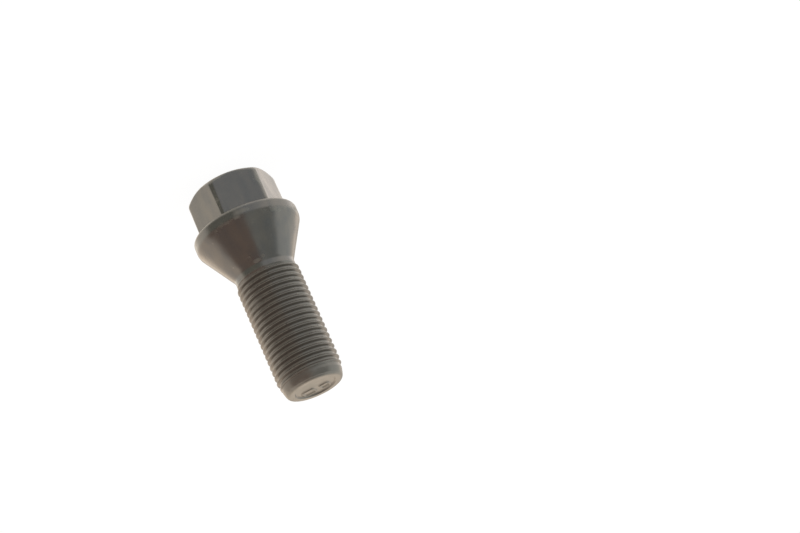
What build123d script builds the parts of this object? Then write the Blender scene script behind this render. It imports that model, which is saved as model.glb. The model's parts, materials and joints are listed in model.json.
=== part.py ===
from build123d import *
import math
import os

# Wheel bolt, forged in one piece: a hexagon on a round collar, a 60 degree cone seat and a threaded shank.
# The bolt stands on its head. Z = 0 is the head's top face, and +Z runs along the axis to the thread's end.

# Driving dimensions, mm and degrees

# hexagon
acrossFlats = 17.0
cornerRounding = 1.15         # radius of the six upright edges
hexHeight = 9.5               # head's top face to the collar's rim
chamferInset = 0.55           # chamfer's inner circle, in from the middle of the flats
chamferAngle = 30.0           # from the top face
chamferEdgeRadius = 1.2       # between the top face and the chamfer

# shallow hollow that forging leaves in the head's top face
dishRim = 2.8                 # ring left between the hollow and the chamfer
dishDepth = 0.8
dishDraft = 60.0              # lean of the hollow's wall from the axis

# collar
collarOverhang = 1.8          # collar's rim beyond the hexagon's rounded corners
collarSlope = 10.0            # fall of the collar's top towards its rim
bandHeight = 2.5              # upright band of the rim
rimEdgeRadius = 0.75          # band to the collar's top
seatEdgeRadius = 0.3          # band to the cone seat

# cone seat
seatAngle = 60.0              # whole angle
neckRadius = 1.2              # hollow between the cone and the neck

# shank, with its M14 x 1.25 thread as a plain cylinder over the crests
threadDiameter = 13.86
threadPitch = 1.25
shankLength = 28.3            # from where the cone would meet the thread's diameter to the end face
neckLength = 0.8              # plain part left between the cone and the thread
runoutTurns = 2.0             # turns in which the thread comes up to its full height
leadAngle = 16.0              # lead-in taper, from the axis
leadDepth = 1.0               # how far the taper comes in below the crests
endEdgeRadius = 1.0

# shallow pocket in the end face
pocketRim = 1.45              # ring left round the pocket
pocketDepth = 0.35
pocketDraft = 45.0            # lean of the pocket's wall from the axis

# Sizes that follow

pitchDrop = 0.6495 * threadPitch / 2                   # crest to pitch line of a metric thread
threadRadius = threadDiameter / 2
neckHalf = threadRadius - pitchDrop                    # the thread is rolled on a blank of its pitch diameter
cornerRadius = (acrossFlats / 2 - cornerRounding) / math.cos(math.pi / 6) + cornerRounding
chamferRadius = acrossFlats / 2 - chamferInset
collarRadius = cornerRadius + collarOverhang
slopeRise = collarRadius * math.tan(math.radians(collarSlope))
bandEnd = hexHeight + bandHeight
seatSlope = math.tan(math.radians(seatAngle / 2))
coneEnd = bandEnd + (collarRadius - neckHalf) / seatSlope
runoutStart = coneEnd + neckLength
runoutEnd = runoutStart + runoutTurns * threadPitch
boltEnd = bandEnd + (collarRadius - threadRadius) / seatSlope + shankLength
leadStart = boltEnd - leadDepth / math.tan(math.radians(leadAngle))
endRadius = threadRadius - leadDepth
pocketRadius = endRadius - pocketRim
pocketFloor = pocketRadius - pocketDepth * math.tan(math.radians(pocketDraft))


def turned(corners, radii):
    """Solid turned about Z from corners (radius, z) on the axis at both ends; radii round the corners between."""
    with BuildPart() as solid:
        with BuildSketch(Plane.XZ):
            with BuildLine():
                outline = FilletPolyline(*corners, radius=radii)
                Line(outline @ 1, outline @ 0)
            make_face()
        revolve(axis=Axis.Z)
    return solid.part


def shankAndSeat():
    """Collar, cone seat, neck, shank and lead-in taper as one turned profile."""
    corners = [
        (0, hexHeight - slopeRise),
        (collarRadius, hexHeight),
        (collarRadius, bandEnd),
        (neckHalf, coneEnd),
        (neckHalf, runoutStart),
        (threadRadius, runoutEnd),
        (threadRadius, leadStart),
        (endRadius, boltEnd),
        (pocketRadius, boltEnd),
        (pocketFloor, boltEnd - pocketDepth),
        (0, boltEnd - pocketDepth),
    ]
    radii = [rimEdgeRadius, seatEdgeRadius, neckRadius, 0, 0, 0, endEdgeRadius, 0, 0]
    return turned(corners, radii)


def hexagon():
    """Hexagon with rounded upright edges, its top dressed by a chamfer that runs round as a cone."""
    with BuildPart() as prism:
        with BuildSketch():
            RegularPolygon(acrossFlats / 2, 6, major_radius=False)
        extrude(amount=hexHeight)
        fillet(prism.edges().filter_by(Axis.Z), cornerRounding)
    reach = 2 * cornerRadius
    rise = (reach - chamferRadius) * math.tan(math.radians(chamferAngle))
    envelope = turned(
        [(0, 0), (chamferRadius, 0), (reach, rise), (reach, rise + hexHeight), (0, rise + hexHeight)],
        [chamferEdgeRadius, 0, 0],
    )
    return prism.part & envelope


def dish():
    """Hollow in the head's top face: a flat floor inside a sloped wall."""
    mouth = chamferRadius - dishRim
    floor = mouth - dishDepth * math.tan(math.radians(dishDraft))
    return Cone(mouth, floor, dishDepth, align=(Align.CENTER, Align.CENTER, Align.MIN))


def wheelBolt():
    """Whole bolt: the hexagon stands on the collar's sloped top, and its own top is hollowed."""
    return shankAndSeat() + hexagon() - dish()


os.makedirs("parts", exist_ok=True)
export_step(wheelBolt(), "parts/wheel_bolt.step")
print("collar diameter", round(2 * collarRadius, 2), "length", round(boltEnd, 2))
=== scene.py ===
import bpy
import bmesh
import json
import math
import numpy as np
from mathutils import Matrix, Vector


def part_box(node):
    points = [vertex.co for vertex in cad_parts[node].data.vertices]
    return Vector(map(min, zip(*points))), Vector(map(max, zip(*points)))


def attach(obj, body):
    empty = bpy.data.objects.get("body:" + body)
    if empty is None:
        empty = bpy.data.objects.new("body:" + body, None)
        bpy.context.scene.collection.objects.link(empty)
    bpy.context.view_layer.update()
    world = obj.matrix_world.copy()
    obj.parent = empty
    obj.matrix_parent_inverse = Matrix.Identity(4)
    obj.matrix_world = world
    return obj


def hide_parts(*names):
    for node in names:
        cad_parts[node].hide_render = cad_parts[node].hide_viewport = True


# A forged wheel bolt that stands on its head: z = 0 is the head's top face, +z runs to the thread's end.
# Sizes are in millimetres and degrees, and become metres where they reach a mesh, a place or a texture scale.

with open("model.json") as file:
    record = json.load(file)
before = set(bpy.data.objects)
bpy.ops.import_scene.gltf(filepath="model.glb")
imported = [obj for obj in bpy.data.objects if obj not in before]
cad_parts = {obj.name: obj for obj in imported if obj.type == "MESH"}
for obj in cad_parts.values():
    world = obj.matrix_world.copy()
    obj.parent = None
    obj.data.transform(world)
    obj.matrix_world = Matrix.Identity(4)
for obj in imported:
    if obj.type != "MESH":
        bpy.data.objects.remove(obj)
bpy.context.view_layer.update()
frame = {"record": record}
mm = 0.001


# What the frame fixes
boltLow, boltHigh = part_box("wheel_bolt")
shankPin = next(mount for mount in frame["record"]["mounts"] if mount["name"] == "threaded_shank")
collarRadius = min(boltHigh.x, -boltLow.x, boltHigh.y) / mm   # smallest reach: it stays inside the box
boltLength = boltHigh.z / mm
threadRadius = shankPin["dims"]["r_mm"]
leadStart = shankPin["pos_m"][2] / mm + shankPin["dims"]["length_mm"] / 2


# The bolt's grid: columns round the axis, rows along the profile
boltGrid = {
    "edgeSteps": 8,         # steps over each rounded upright edge of the hexagon
    "flatSteps": 20,        # steps across each flat
    "holdAngle": 0.3,       # from an edge to the column that keeps the flat flat
    "holdLength": 0.05,     # from a rounding to the row that keeps the straight run straight
    "roundSteps": 8,        # steps over a rounding of the profile
    "rowGap": 0.45,         # widest gap between rows on a straight run
    "rubbedHalf": 0.55,     # half of the strip that handling rubs along a rounding
    "rubbedShare": 0.5,     # how far it is rubbed
    "rubbedRadius": 0.9,    # roundings larger than this are rubbed less
    "rubbedCorner": 4.0,    # from a corner of the hexagon to where its rub ends
    "mergeWithin": 0.002,   # points closer than this become one
}

hexagonHead = {
    "acrossFlats": 17.0,
    "edgeRounding": 1.4,    # six upright edges, at their top, where the forging fills the die least
    "footRounding": 0.9,    # and at their foot
    "height": 9.5,          # top face to the collar's rim
    "chamferInset": 0.55,   # chamfer's inner circle, in from the middle of the flats
    "chamferAngle": 30.0,
    "faceEdge": 1.2,        # rounding between top face and chamfer
    "flatEdge": 0.4,        # rounding between chamfer and the middle of a flat
    "cornerEdge": 1.2,      # the same at the hexagon's corners
    "rootFillet": 0.5,      # hollow where the flats meet the collar
    "hollowRim": 2.8,       # ring left round the hollow in the top face
    "hollowDepth": 0.8,
    "hollowDraft": 60.0,
    "hollowEdge": 0.5,
    "offCentre": (-0.18, -0.03),   # the forged hexagon sits this far off the shank's axis
}

sector = math.pi / 3   # one side of the hexagon, seen from the axis
halfFlats = hexagonHead["acrossFlats"] / 2


# smooth step: 0 before start, 1 after end, 3s^2 - 2s^3 between
def smoothStep(value, start, end):
    share = np.clip((value - start) / (end - start), 0, 1)
    return share * share * (3 - 2 * share)


# angle between a column and the nearest corner of the hexagon
def fromCorner(angle):
    return np.abs((angle + sector / 2) % sector - sector / 2)


# Circle of an upright edge: its centre is where the lines one rounding inside the flats cross.
def edgeCentre(rounding):
    return (halfFlats - rounding) / math.cos(sector / 2)


# angle, seen from the axis, at which a spoke of that circle ends
def spokeAngle(spoke, rounding):
    return np.arctan2(rounding * np.sin(spoke), edgeCentre(rounding) + rounding * np.cos(spoke))


# Column angles: even spokes of each upright edge's circle, then even steps over the flat to the next edge.
def columnAngles():
    spoke = np.linspace(-sector / 2, sector / 2, boltGrid["edgeSteps"] + 1)
    edge = spokeAngle(spoke, hexagonHead["edgeRounding"])
    start = edge[-1] + math.radians(boltGrid["holdAngle"])
    flat = np.linspace(start, sector - start, boltGrid["flatSteps"] + 1)
    return np.concatenate([np.concatenate([edge, flat]) + k * sector for k in range(6)])


# Hexagon seen along the axis, radius over angle: flat distance / cosine of the angle from the flat's middle,
# and near a corner the far crossing of the ray with the upright edge's circle.
def hexRadius(angle, rounding):
    off = fromCorner(angle)
    centre = edgeCentre(rounding)
    flat = halfFlats / np.cos(sector / 2 - off)
    across = np.sqrt(np.maximum(rounding**2 - (centre * np.sin(off)) ** 2, 0))
    return np.where(off < spokeAngle(sector / 2, rounding), centre * np.cos(off) + across, flat)


# Profile through corners (radius, z) with each inner corner rounded: the arc leaves the run at
# radius / tan(half the corner's angle), its centre is radius / sin(half) up the bisector, and its spokes turn
# evenly from run to run. Straight runs get even rows. Corners and roundings may differ from column to column.
# Also gives how much each row stands out to be rubbed, and the row at which each rounding starts.
def roundedProfile(corners, roundings, columns):
    points = np.array([[np.broadcast_to(r, columns), np.broadcast_to(z, columns)] for r, z in corners])
    rows = [points[0]]
    rubbed = [np.zeros(columns)]
    starts = []

    def straightRun(end):
        start = rows[-1]
        steps = math.ceil(np.linalg.norm(end - start, axis=0).max() / boltGrid["rowGap"])
        for share in np.linspace(0, 1, steps + 1)[1:]:
            rows.append(start + share * (end - start))
            rubbed.append(np.zeros(columns))

    for k, radius in enumerate(roundings, start=1):
        back = points[k - 1] - points[k]
        ahead = points[k + 1] - points[k]
        back = back / np.linalg.norm(back, axis=0)
        ahead = ahead / np.linalg.norm(ahead, axis=0)
        half = np.arccos(np.clip((back * ahead).sum(0), -1, 1)) / 2
        bisector = (back + ahead) / np.linalg.norm(back + ahead, axis=0)
        centre = points[k] + bisector * radius / np.sin(half)
        first = points[k] + back * radius / np.tan(half)
        last = points[k] + ahead * radius / np.tan(half)
        sweep = math.pi - 2 * half
        outward = float(np.mean(back[0] * ahead[1] - back[1] * ahead[0]) < 0)
        sharp = np.minimum(1, boltGrid["rubbedRadius"] / radius)
        straightRun(first + back * boltGrid["holdLength"])
        starts.append(len(rows) - 1)
        for share in np.linspace(0, 1, boltGrid["roundSteps"] + 1):
            spoke = np.sin((1 - share) * sweep) * (first - centre) + np.sin(share * sweep) * (last - centre)
            rows.append(centre + spoke / np.sin(sweep))
            away = (share - 0.5) * sweep * radius / boltGrid["rubbedHalf"]
            rubbed.append(outward * boltGrid["rubbedShare"] * sharp * np.exp(-(away**2)))
        rows.append(last + ahead * boltGrid["holdLength"])
        rubbed.append(np.zeros(columns))
    straightRun(points[-1])
    return np.array(rows), np.array(rubbed), starts


collarAndSeat = {
    "collarSlope": 10.0,
    "bandHeight": 2.5,
    "rimEdge": 0.75,        # collar's top to its band
    "seatEdge": 2.6,        # band to cone seat
    "seatAngle": 60.0,      # whole angle
    "neckHollow": 1.2,
    "neckLength": 0.8,
}


# Head, collar and seat: one profile per column, from the middle of the top face out and up to the neck.
# The off-centre shift is whole on the hexagon and falls to nothing over the collar's top.
def headRows(angle):
    head = hexagonHead
    seat = collarAndSeat
    chamferRadius = halfFlats - head["chamferInset"]
    mouth = chamferRadius - head["hollowRim"]
    hollowFloor = mouth - head["hollowDepth"] * math.tan(math.radians(head["hollowDraft"]))
    side = hexRadius(angle, head["edgeRounding"])
    foot = hexRadius(angle, head["footRounding"])
    chamferEnd = (side - chamferRadius) * math.tan(math.radians(head["chamferAngle"]))
    root = head["height"] - (collarRadius - foot) * math.tan(math.radians(seat["collarSlope"]))
    bandEnd = head["height"] + seat["bandHeight"]
    coneEnd = bandEnd + (collarRadius - neckRadius) / math.tan(math.radians(seat["seatAngle"] / 2))
    toCorner = (side - halfFlats) / (side.max() - halfFlats)
    sideEdge = head["flatEdge"] + (head["cornerEdge"] - head["flatEdge"]) * toCorner
    corners = [
        (0, head["hollowDepth"]),
        (hollowFloor, head["hollowDepth"]),
        (mouth, 0),
        (chamferRadius, 0),
        (side, chamferEnd),
        (foot, root),
        (collarRadius, head["height"]),
        (collarRadius, bandEnd),
        (neckRadius, coneEnd),
        (neckRadius, coneEnd + seat["neckLength"]),
    ]
    roundings = [head["hollowEdge"], head["hollowEdge"], head["faceEdge"], sideEdge,
                 head["rootFillet"], seat["rimEdge"], seat["seatEdge"], seat["neckHollow"]]
    rows, rubbed, starts = roundedProfile(corners, roundings, len(angle))
    sideRow, rootRow, rimRow = starts[3:6]
    rubEnd = math.radians(boltGrid["rubbedCorner"])
    upright = boltGrid["rubbedShare"] * (1 - smoothStep(fromCorner(angle), 0, rubEnd))
    rubbed[sideRow:rootRow] = np.maximum(rubbed[sideRow:rootRow], upright)
    rimStart = rows[rimRow, 0]
    shifted = np.clip((rimStart - rows[:, 0]) / (rimStart - foot), 0, 1)
    shifted[rimRow:] = 0
    return rows, rubbed, shifted[..., None] * np.array(head["offCentre"])


rolledThread = {
    "pitch": 1.25,
    "pitchDrop": 0.6495 / 2,  # crest to pitch line, in pitches; the blank has the pitch line's radius
    "depth": 0.45,            # crest to root, in pitches: shallower than a bare thread
    "rootHalf": 0.18,         # half of the groove's floor, in pitches
    "crestHalf": 0.065,       # half of the crest, in pitches
    "easing": 0.2,            # share of the flank that is rounded at either end
    "grooveAt": 23.68,        # z of a groove's middle at angle 0
    # rows over one pitch, in pitches, close together at the bends
    "rowsAt": (0, 0.13, 0.18, 0.23, 0.31, 0.39, 0.44, 0.5, 0.56, 0.61, 0.69, 0.77, 0.82, 0.87),
    "plainTurns": 0.35,       # turns that stay plain after the neck
    "growTurns": 0.75,        # turns in which the crest then comes up to its full height
    "cutTurns": 0.55,         # turns in which the groove comes down to its full depth
    "fillTurns": 2.1,         # turns in which it fills up again along the lead-in taper
    "rubbedCrest": 0.35,      # how far handling rubs the crests
    "flankShadeAt": 0.31,         # where shade is painted on the flanks, in pitches from the groove's middle
    "flankShadeHalf": 0.12,       # half width of the bell curve there
}

neckRadius = threadRadius - rolledThread["pitchDrop"] * rolledThread["pitch"]
rootRadius = threadRadius - rolledThread["depth"] * rolledThread["pitch"]
threadStop = leadStart + rolledThread["fillTurns"] * rolledThread["pitch"]


# Height of the thread, 0 in the groove and 1 on the crest, over the distance from a groove's middle in
# pitches: the way along the flank, held at both ends, with the bends eased as parabolas.
def threadHeight(away):
    thread = rolledThread
    along = (away - thread["rootHalf"]) / (0.5 - thread["rootHalf"] - thread["crestHalf"])
    ease = thread["easing"]

    def ramp(value):
        bend = (value + ease) ** 2 / (4 * ease)
        return np.where(value < -ease, 0, np.where(value < ease, bend, value))

    return ramp(along) - ramp(along - 1)


# Thread: rows climb one pitch per turn, held between the neck and the taper. The radius goes from low to high
# with the height. High grows out of the neck and ends in the taper, low sinks to the grooves' floor and meets
# high again there. Rubbed is the height's fourth power on the crests, and goes below nothing as a bell curve
# on either flank, which is shade painted on the flanks between the threads.
def threadRows(angle, startZ):
    thread = rolledThread
    pitch = thread["pitch"]
    turned = angle[None, :] / (2 * math.pi)
    firstTurn = math.floor((startZ - thread["grooveAt"]) / pitch) - 1
    lastTurn = math.ceil((threadStop - thread["grooveAt"]) / pitch)
    turns = np.arange(firstTurn, lastTurn + 1)[:, None] + np.array(thread["rowsAt"])[None, :]
    z = np.clip(thread["grooveAt"] + pitch * (turns.reshape(-1, 1) + turned), startZ, threadStop)
    away = np.abs(((z - thread["grooveAt"]) / pitch - turned + 0.5) % 1 - 0.5)
    height = threadHeight(away)
    bite = startZ + thread["plainTurns"] * pitch
    grown = smoothStep(z, bite, bite + thread["growTurns"] * pitch)
    cut = smoothStep(z, bite, bite + thread["cutTurns"] * pitch)
    filled = smoothStep(z, leadStart, threadStop)
    crest = threadRadius - np.maximum(z - leadStart, 0) * leadSlope
    high = neckRadius + grown * (crest - neckRadius)
    low = neckRadius + cut * (rootRadius - neckRadius)
    low = low + filled * (high - low)
    # painted shade between the threads: a bell curve on either flank
    flankShade = np.exp(-(((away - thread["flankShadeAt"]) / thread["flankShadeHalf"]) ** 2))
    rubbed = (thread["rubbedCrest"] * height**4 * (1 - flankShade) * grown - flankShade * cut) * (1 - filled)
    return np.stack([low + height * (high - low), z], axis=1), rubbed


threadEnd = {
    "leadAngle": 16.0,
    "endEdge": 0.7,
    "slant": 2.0,           # the sheared end isn't quite square: it falls this much
    "slantTo": -80.0,       # towards this azimuth
    "pocketRim": 1.45,
    "pocketDepth": 0.3,
    "pocketDraft": 45.0,
    "pocketEdge": 0.15,
    "floorSteps": 34,
    "squares": ((1.2, 1.9, 1.25), (-2.1, 0.9, 1.0)),   # raised squares in the pocket: middle, half width
    "squareCorner": 0.45,
    "squareTurn": 24.0,
    "squareHeight": 0.22,
    "squareLine": 0.55,     # width of the raised line
    "lineFall": (0.1, 0.6),   # shares of that width, from its middle, between which it falls
}

leadSlope = math.tan(math.radians(threadEnd["leadAngle"]))
endRadius = threadRadius - (boltLength - leadStart) * leadSlope


# Raised squares on a floor: height over the distance to the outline of a square with rounded corners, whole
# on the line and smoothly nothing a little more than half a line's width away.
def raisedSquares(x, y):
    tip = threadEnd
    turn = math.radians(tip["squareTurn"])
    corner = tip["squareCorner"]
    start, end = (share * tip["squareLine"] for share in tip["lineFall"])
    height = np.zeros_like(x)
    for middleX, middleY, half in tip["squares"]:
        u = np.abs((x - middleX) * math.cos(turn) + (y - middleY) * math.sin(turn)) - half + corner
        v = np.abs((y - middleY) * math.cos(turn) - (x - middleX) * math.sin(turn)) - half + corner
        inside = np.minimum(np.maximum(u, v), 0)
        outside = np.hypot(np.maximum(u, 0), np.maximum(v, 0))
        height = height + 1 - smoothStep(np.abs(outside + inside - corner), start, end)
    return height * tip["squareHeight"]


# Thread's end: taper, rounded edge, end face and shallow pocket with two raised squares, closed in the
# middle. The slant lowers a row by its tangent times the way from the high side, growing along the taper.
def endRows(angle):
    tip = threadEnd
    pocketRadius = endRadius - tip["pocketRim"]
    floorRadius = pocketRadius - tip["pocketDepth"] * math.tan(math.radians(tip["pocketDraft"]))
    floorZ = boltLength - tip["pocketDepth"]
    innerRadius = floorRadius - 2 * tip["pocketEdge"]
    corners = [
        (threadRadius - (threadStop - leadStart) * leadSlope, threadStop),
        (endRadius, boltLength),
        (pocketRadius, boltLength),
        (floorRadius, floorZ),
        (innerRadius, floorZ),
    ]
    roundings = [tip["endEdge"], tip["pocketEdge"], tip["pocketEdge"]]
    rim, rubbed, _ = roundedProfile(corners, roundings, len(angle))
    inward = np.linspace(innerRadius, 0, tip["floorSteps"] + 1)[1:, None]
    radius = np.repeat(inward, len(angle), axis=1)
    raised = floorZ + raisedSquares(radius * np.cos(angle), radius * np.sin(angle))
    rows = np.concatenate([rim, np.stack([radius, raised], axis=1)])
    fromHigh = endRadius - tip["endEdge"] + rows[:, 0] * np.cos(angle - math.radians(tip["slantTo"]))
    grown = smoothStep(rows[:, 1], threadStop, floorZ)
    rows[:, 1] -= math.tan(math.radians(tip["slant"])) * np.maximum(fromHigh, 0) * grown
    return rows, np.concatenate([rubbed, np.zeros_like(radius)])


# Where handling scuffed the coat: azimuth, z, half width round the bolt, half length along it, share
scuffs = (
    (-82.0, 11.0, 1.8, 0.8, 1.0),
    (-66.0, 11.8, 2.6, 0.4, 0.75),
    (-110.0, 12.1, 3.6, 0.7, 0.6),
    (-158.0, 11.1, 3.5, 1.2, 1.0),
    (-76.0, 11.8, 0.5, 0.3, 1.5),
    (-87.0, 13.7, 0.8, 1.4, 0.7),
    (-87.5, 16.1, 0.5, 1.2, 0.5),
    (-88.0, 18.3, 0.5, 0.6, 0.8),
    (-88.0, 19.8, 0.5, 0.4, 0.8),
    (-65.5, 19.0, 0.5, 0.2, 0.9),
    (-74.5, 20.3, 0.8, 0.3, 1.8),
    (-60.0, 19.7, 0.8, 0.3, 0.55),
    (-35.0, 13.5, 0.8, 0.5, 0.5),
    (-120.0, 3.0, 0.5, 2.2, 0.8),
    (-41.0, 28.2, 1.7, 0.9, 0.9),
    (-90.0, 46.4, 6.0, 0.9, 0.45),
    (-62.0, 47.1, 2.0, 0.5, 0.8),
    (-32.0, 47.4, 2.6, 0.6, 0.9),
    (-112.0, 45.9, 3.0, 0.5, 0.7),
)


# Scuffs: each a spot of its share that falls off as
# exp(-(way round / half width)^2 - (way along / half length)^2).
def scuffed(rows, angle):
    spots = np.zeros((len(rows), len(angle)))
    for azimuth, z, halfWidth, halfLength, share in scuffs:
        turn = (angle - math.radians(azimuth) + math.pi) % (2 * math.pi) - math.pi
        around = turn * rows[:, 0] / halfWidth
        along = (rows[:, 1] - z) / halfLength
        spots = np.maximum(spots, share * np.exp(-around**2 - along**2))
    return spots


# Whole bolt: the rows of head, thread and end stacked into one grid and wrapped round the axis, x and y being
# the radius times cosine and sine of the column. Across the seam at angle 0 a thread row meets the row one
# turn on.
def wheelBolt():
    angle = columnAngles()
    head, headRubbed, offCentre = headRows(angle)
    thread, threadRubbed = threadRows(angle, head[-1, 1, 0])
    tip, tipRubbed = endRows(angle)
    rows = np.concatenate([head[:-1], thread, tip[1:]])
    rubbed = np.concatenate([headRubbed[:-1], threadRubbed, tipRubbed[1:]])
    rubbed = rubbed + scuffed(rows, angle) * (1 - rubbed)
    count, columns = len(rows), len(angle)
    place = np.stack([rows[:, 0] * np.cos(angle), rows[:, 0] * np.sin(angle), rows[:, 1]], axis=-1)
    first = len(head) - 1
    last = first + len(thread) - 1
    place[:first, :, :2] += offCentre[:-1]
    across = np.arange(count)
    across[first:last + 1] = np.minimum(across[first:last + 1] + len(rolledThread["rowsAt"]), last)
    index = np.arange(count * columns).reshape(count, columns)
    index = np.concatenate([index, index[across, :1]], axis=1)
    quads = np.stack([index[:-1, :-1], index[:-1, 1:], index[1:, 1:], index[1:, :-1]], axis=-1)

    mesh = bpy.data.meshes.new("wheelBolt")
    mesh.from_pydata((place.reshape(-1, 3) * mm).tolist(), [], quads.reshape(-1, 4).tolist())
    # rubbed holds the handling wear, and below nothing the painted shade on the thread's flanks
    worn = mesh.attributes.new("rubbed", "FLOAT", "POINT")
    worn.data.foreach_set("value", rubbed.ravel().astype(np.float32))
    work = bmesh.new()
    work.from_mesh(mesh)
    mergeWithin = boltGrid["mergeWithin"] * mm
    bmesh.ops.remove_doubles(work, verts=work.verts, dist=mergeWithin)   # poles, seam and clipped rows
    bmesh.ops.recalc_face_normals(work, faces=work.faces)
    openEdges = sum(not edge.is_manifold for edge in work.edges)
    work.to_mesh(mesh)
    work.free()
    mesh.shade_smooth()
    bolt = bpy.data.objects.new("wheelBolt", mesh)
    bpy.context.scene.collection.objects.link(bolt)
    print("bolt mesh:", len(mesh.vertices), "points,", len(mesh.polygons), "faces,", openEdges, "open edges")
    return bolt


# sRGB hex to linear, with an optional strength for lights: a straight line up to 0.04045 and a power of 2.4
# above it
def linear(hexColour, strength=1.0):
    channels = np.array([int(hexColour[i:i + 2], 16) for i in (1, 3, 5)]) / 255
    values = np.where(channels <= 0.04045, channels / 12.92, ((channels + 0.055) / 1.055) ** 2.4)
    return (*(values * strength).tolist(), 1.0)


# Adds a node with values or links for its inputs and settings for its properties. Gives the named output, or
# the first that is in use.
def addNode(tree, kind, inputs=None, give=None, **settings):
    node = tree.nodes.new(kind)
    for name, value in settings.items():
        setattr(node, name, value)
    for name, value in (inputs or {}).items():
        if isinstance(value, bpy.types.NodeSocket):
            tree.links.new(value, node.inputs[name])
        else:
            node.inputs[name].default_value = value
    if give:
        return node.outputs[give]
    return next((socket for socket in node.outputs if socket.enabled), None)


# Forged steel dip-spun with dark zinc flake in a binder: satin dark grey that mirrors its surroundings
# softly, cloudy where the coat ran thick or thin, a little brighter where handling rubbed the edges, duller
# on the thread, and painted shade on the thread's flanks: darker, with less flake and a smoother finish.
coatLook = {
    "thin": "#73716d",
    "thick": "#686969",
    "thread": "#72716d",
    # colour of the painted shade on the thread's flanks
    "flankShade": "#625f5a",
    "rubbed": "#82827e",
    "flakeShare": 0.85,         # metal flake against binder
    "threadFlakeShare": 0.68,
    "flankShadeFlakeShare": 0.2,
    "roughness": (0.16, 0.26),  # thin and thick coat
    "threadRoughness": 0.11,    # added on the thread
    "flankShadeRoughness": 0.14,    # smoother on the flanks where shade is painted
    "rubbedRoughness": 0.5,
    "threadFrom": (21.2, 22.6),   # z over which the head's coat turns to the thread's
    "cloud": (2.0, 4.0),        # size and detail of thick and thin
    "cloudRange": (0.3, 0.7),   # the noise's values for thin and thick
    "cloudStretch": 3.0,        # the coat runs along the bolt
    "patch": (1.5, 4.0),        # size and detail of the ragged edges of what is rubbed
    "wearShare": 0.5,           # weight of the rubbed places against that noise
    "wearRange": (0.68, 1.02),  # sum at which wear starts and is whole
    "grain": (0.3, 2.0),        # real flakes are 0.02 mm; drawn coarser so that they show
    "grainHeight": 0.0025,
    "wave": (3.2, 1.0),         # slow unevenness of the coat
    "waveHeight": 0.06,
    "levelFrom": 0.3,           # share of the thread's coat from which neither shows
}


# Each share of the coat mixes in its own colour, roughness and flake: depth is the cloudy noise, shank the z
# along the bolt, the painted shade on the thread's flanks the rubbed attribute below nothing, and wear that
# attribute at its weight plus the ragged noise.
def zincFlakeCoat():
    look = coatLook
    material = bpy.data.materials.new("darkZincFlakeCoat")
    material.use_nodes = True
    tree = material.node_tree
    shader = tree.nodes["Principled BSDF"]
    spot = addNode(tree, "ShaderNodeTexCoord", give="Object")
    runs = addNode(tree, "ShaderNodeMapping", {"Vector": spot, "Scale": (1, 1, 1 / look["cloudStretch"])})
    noise = {}
    for name, where in (("cloud", runs), ("patch", spot), ("grain", spot), ("wave", spot)):
        size, detail = look[name]
        noise[name] = addNode(tree, "ShaderNodeTexNoise",
                              {"Vector": where, "Scale": 1 / (size * mm), "Detail": detail})

    height = addNode(tree, "ShaderNodeSeparateXYZ", {"Vector": spot}, give="Z")
    start, end = look["threadFrom"]
    shank = addNode(tree, "ShaderNodeMapRange",
                    {"Value": height, "From Min": start * mm, "From Max": end * mm},
                    interpolation_type="SMOOTHSTEP")
    start, end = look["cloudRange"]
    depth = addNode(tree, "ShaderNodeMapRange", {"Value": noise["cloud"], "From Min": start, "From Max": end})
    rubbed = addNode(tree, "ShaderNodeAttribute", give="Fac", attribute_name="rubbed")
    # painted shade on the thread's flanks, where the rubbed attribute is below nothing
    flankShadeMask = addNode(tree, "ShaderNodeMapRange", {"Value": rubbed, "From Min": 0.0, "From Max": -1.0})
    wear = addNode(tree, "ShaderNodeMath", {0: rubbed, 1: look["wearShare"], 2: noise["patch"]},
                   operation="MULTIPLY_ADD")
    start, end = look["wearRange"]
    wear = addNode(tree, "ShaderNodeMapRange", {"Value": wear, "From Min": start, "From Max": end})

    colour = linear(look["thin"])
    for name, share in (("thick", depth), ("thread", shank), ("flankShade", flankShadeMask), ("rubbed", wear)):
        colour = addNode(tree, "ShaderNodeMix", {"Factor": share, "A": colour, "B": linear(look[name])},
                         data_type="RGBA")
    low, high = look["roughness"]
    dull = addNode(tree, "ShaderNodeMapRange", {"Value": depth, "To Min": low, "To Max": high})
    dull = addNode(tree, "ShaderNodeMath", {0: shank, 1: look["threadRoughness"], 2: dull},
                   operation="MULTIPLY_ADD")
    for name, share in (("flankShadeRoughness", flankShadeMask), ("rubbedRoughness", wear)):
        dull = addNode(tree, "ShaderNodeMix", {"Factor": share, "A": dull, "B": look[name]})
    flake = addNode(tree, "ShaderNodeMapRange",
                    {"Value": shank, "To Min": look["flakeShare"], "To Max": look["threadFlakeShare"]})
    flake = addNode(tree, "ShaderNodeMix", {"Factor": flankShadeMask, "A": flake, "B": look["flankShadeFlakeShare"]})
    waveShare = look["waveHeight"] / look["grainHeight"]
    uneven = addNode(tree, "ShaderNodeMath", {0: noise["wave"], 1: waveShare, 2: noise["grain"]},
                     operation="MULTIPLY_ADD")
    level = addNode(tree, "ShaderNodeMapRange",
                    {"Value": shank, "From Max": look["levelFrom"], "To Min": 1.0, "To Max": 0.0})
    bump = addNode(tree, "ShaderNodeBump",
                   {"Height": uneven, "Distance": look["grainHeight"] * mm, "Strength": level})
    for name, value in (("Base Color", colour), ("Roughness", dull), ("Metallic", flake), ("Normal", bump)):
        tree.links.new(value, shader.inputs[name])
    return material


bolt = wheelBolt()
bolt.data.materials.append(zincFlakeCoat())
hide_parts("wheel_bolt")
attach(bolt, "root")
print("bolt dressed")


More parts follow.
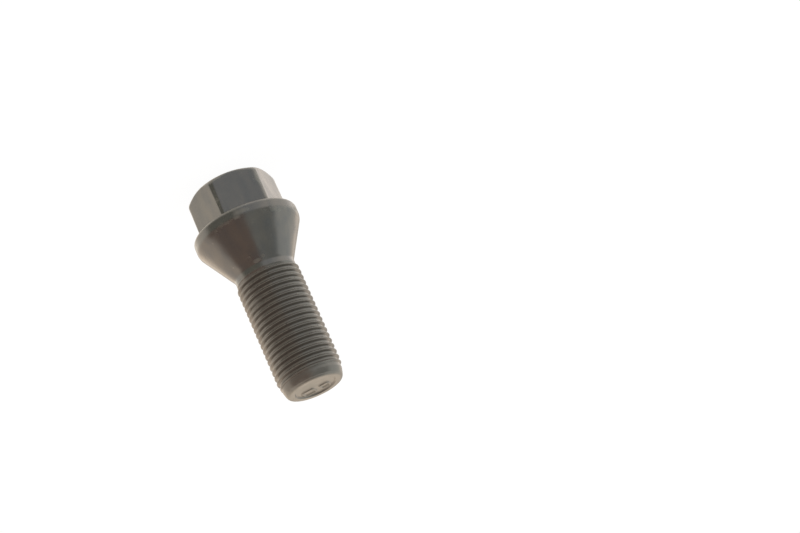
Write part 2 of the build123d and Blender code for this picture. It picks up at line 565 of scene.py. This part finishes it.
# Camera at the photograph's angle, rolled so that the head is up in the picture
cameraView = {
    "place": (47.61, -256.86, 121.55),
    "azimuth": -73.83,      # of the line back to the camera, from +x
    "elevation": 18.946,
    "roll": -154.497,
    "lens": 60.41,
    "sensor": 36.0,
    "clipStart": 10.0,
}


# The camera looks against the line back, which azimuth and elevation give; up is the upright across that
# line, turned about it by the roll.
def photoCamera():
    view = cameraView
    azimuth, elevation, roll = (math.radians(view[name]) for name in ("azimuth", "elevation", "roll"))
    outward = math.cos(elevation)
    back = Vector((outward * math.cos(azimuth), outward * math.sin(azimuth), math.sin(elevation)))
    level = Vector((0, 0, 1)).cross(back).normalized()
    up = back.cross(level) * math.cos(roll) + level * math.sin(roll)
    turn = Matrix((up.cross(back), up, back)).transposed()
    lens = bpy.data.cameras.new("photoCamera")
    lens.sensor_width = view["sensor"]
    lens.lens = view["lens"]
    lens.clip_start = view["clipStart"] * mm
    camera = bpy.data.objects.new("photoCamera", lens)
    camera.matrix_world = Matrix.Translation(Vector(view["place"]) * mm) @ turn.to_4x4()
    bpy.context.scene.collection.objects.link(camera)
    bpy.context.scene.camera = camera


photoCamera()
print("camera set")


# White studio tent, open and dim on the camera's side. Each part's lights go from the picture's left to its
# right: tint, strength, and the sideways share from and to which a light takes over from the one before.
# Low is the floor's side.
studioTent = {
    "openingAzimuth": -76.7,    # middle of the opening, from +x
    "openingHalf": 79.0,
    "openingEdge": 8.0,         # half of the soft edge
    "opening": {"high": (("#ffe0d0", 0.44), ("#fcfffa", 0.56, 0.16, 0.22), ("#fcfffa", 0.50, 0.35, 0.7)),
                "low": (("#fcffee", 0.37), ("#f9fcff", 0.75, -0.1, 0.3), ("#fffcf8", 1.1, 0.5, 1.0))},
    "wall": {"high": (("#ffefe0", 1.33), ("#fefffb", 1.17, -0.6, 0.6)),
             "low": (("#fff6e9", 1.42), ("#fffaf4", 1.39, -0.6, 0.6))},
    "behind": {"high": (("#ffecd6", 1.85), ("#fff1e2", 1.55, -0.3, 0.3)),
               "low": (("#fff3e2", 1.75), ("#fff5ec", 1.85, -0.3, 0.3))},
    "behindFrom": (-0.5, -0.9),   # share ahead over which the wall turns to what is behind
    "lowBand": (-0.1, -0.35),   # height share over which high turns to low
    "floorLight": (-0.4, -0.75),  # height share over which light from the floor comes in
    "floorShare": 0.65,         # how far it closes the opening
    "rear": ("#fff2e4", 0.8),   # duller gap straight behind, up to about 20 degrees
    "rearFrom": (-0.88, -0.97),
    "rearBelow": (0.36, 0.1),
    "backdrop": "#ffffff",      # what the camera sees
}


# Every share of the tent is a smooth step over one direction of the ray: its height, or its level part along
# the opening's middle (ahead) or across it (aside). The lights are mixed by these shares, wall first.
def studioLight():
    tent = studioTent
    world = bpy.data.worlds.new("studioTent")
    bpy.context.scene.world = world
    world.use_nodes = True
    tree = world.node_tree
    azimuth = math.radians(tent["openingAzimuth"])
    forward = (math.cos(azimuth), math.sin(azimuth), 0)
    right = (math.sin(azimuth), -math.cos(azimuth), 0)
    ray = addNode(tree, "ShaderNodeTexCoord", give="Generated")
    height = addNode(tree, "ShaderNodeSeparateXYZ", {"Vector": ray}, give="Z")
    flat = addNode(tree, "ShaderNodeVectorMath", {0: ray, 1: (1, 1, 0)}, operation="MULTIPLY")
    flat = addNode(tree, "ShaderNodeVectorMath", {0: flat}, operation="NORMALIZE")
    ahead = addNode(tree, "ShaderNodeVectorMath", {0: flat, 1: forward}, operation="DOT_PRODUCT")
    aside = addNode(tree, "ShaderNodeVectorMath", {0: flat, 1: right}, operation="DOT_PRODUCT")
    outer = math.cos(math.radians(tent["openingHalf"] + tent["openingEdge"]))
    inner = math.cos(math.radians(tent["openingHalf"] - tent["openingEdge"]))
    steps = {
        "opening": (ahead, outer, inner),
        "behind": (ahead, *tent["behindFrom"]),
        "low": (height, *tent["lowBand"]),
        "floor": (height, *tent["floorLight"]),
        "rear": (ahead, *tent["rearFrom"]),
        "sunk": (height, *tent["rearBelow"]),
    }
    share = {}
    for name, (value, start, end) in steps.items():
        share[name] = addNode(tree, "ShaderNodeMapRange",
                              {"Value": value, "From Min": start, "From Max": end},
                              interpolation_type="SMOOTHSTEP")
    clear = addNode(tree, "ShaderNodeMath", {0: share["floor"], 1: -tent["floorShare"], 2: 1.0},
                    operation="MULTIPLY_ADD")
    opened = addNode(tree, "ShaderNodeMath", {0: share["opening"], 1: clear}, operation="MULTIPLY")
    gap = addNode(tree, "ShaderNodeMath", {0: share["rear"], 1: share["sunk"]}, operation="MULTIPLY")

    light = {}
    for part in ("wall", "behind", "opening"):
        band = {}
        for name in ("high", "low"):
            first, *others = tent[part][name]
            band[name] = linear(*first)
            for tint, strength, start, end in others:
                side = addNode(tree, "ShaderNodeMapRange",
                               {"Value": aside, "From Min": start, "From Max": end},
                               interpolation_type="SMOOTHSTEP")
                band[name] = addNode(tree, "ShaderNodeMix",
                                     {"Factor": side, "A": band[name], "B": linear(tint, strength)},
                                     data_type="RGBA")
        light[part] = addNode(tree, "ShaderNodeMix",
                              {"Factor": share["low"], "A": band["high"], "B": band["low"]},
                              data_type="RGBA")
    seen = addNode(tree, "ShaderNodeLightPath", give="Is Camera Ray")
    cast = light["wall"]
    for factor, over in ((share["behind"], light["behind"]), (opened, light["opening"]),
                         (gap, linear(*tent["rear"])), (seen, linear(tent["backdrop"]))):
        cast = addNode(tree, "ShaderNodeMix", {"Factor": factor, "A": cast, "B": over}, data_type="RGBA")
    tree.links.new(cast, tree.nodes["Background"].inputs["Color"])


# White paper floor: to the camera mostly plain white, with a share of the lit paper so that the shadow stays
paperFloor = {
    "half": 6000.0,
    "drop": 0.02,           # below the head's top face
    "colour": "#f4f4f4",
    "litShare": 0.06,
    "white": 1.03,          # over 1, which makes up for the paper's share
}


# One square under the bolt. Its shader gives the camera white light with a little lit paper, and all other
# rays the paper.
def whiteFloor():
    half = paperFloor["half"] * mm
    drop = -paperFloor["drop"] * mm
    mesh = bpy.data.meshes.new("paperFloor")
    corners = [(-half, -half, drop), (half, -half, drop), (half, half, drop), (-half, half, drop)]
    mesh.from_pydata(corners, [], [(0, 1, 2, 3)])
    floor = bpy.data.objects.new("paperFloor", mesh)
    bpy.context.scene.collection.objects.link(floor)
    floor.visible_glossy = False    # the bolt mirrors the tent, which goes on below the floor
    material = bpy.data.materials.new("whitePaper")
    material.use_nodes = True
    tree = material.node_tree
    tree.nodes.clear()
    paper = addNode(tree, "ShaderNodeBsdfDiffuse", {"Color": linear(paperFloor["colour"])})
    white = addNode(tree, "ShaderNodeEmission", {"Strength": paperFloor["white"]})
    shown = addNode(tree, "ShaderNodeMixShader", {0: paperFloor["litShare"], 1: white, 2: paper})
    seen = addNode(tree, "ShaderNodeLightPath", give="Is Camera Ray")
    final = addNode(tree, "ShaderNodeMixShader", {0: seen, 1: paper, 2: shown})
    addNode(tree, "ShaderNodeOutputMaterial", {"Surface": final})
    mesh.materials.append(material)


studioLight()
whiteFloor()
bpy.context.scene.view_settings.view_transform = "Standard"
print("studio set")
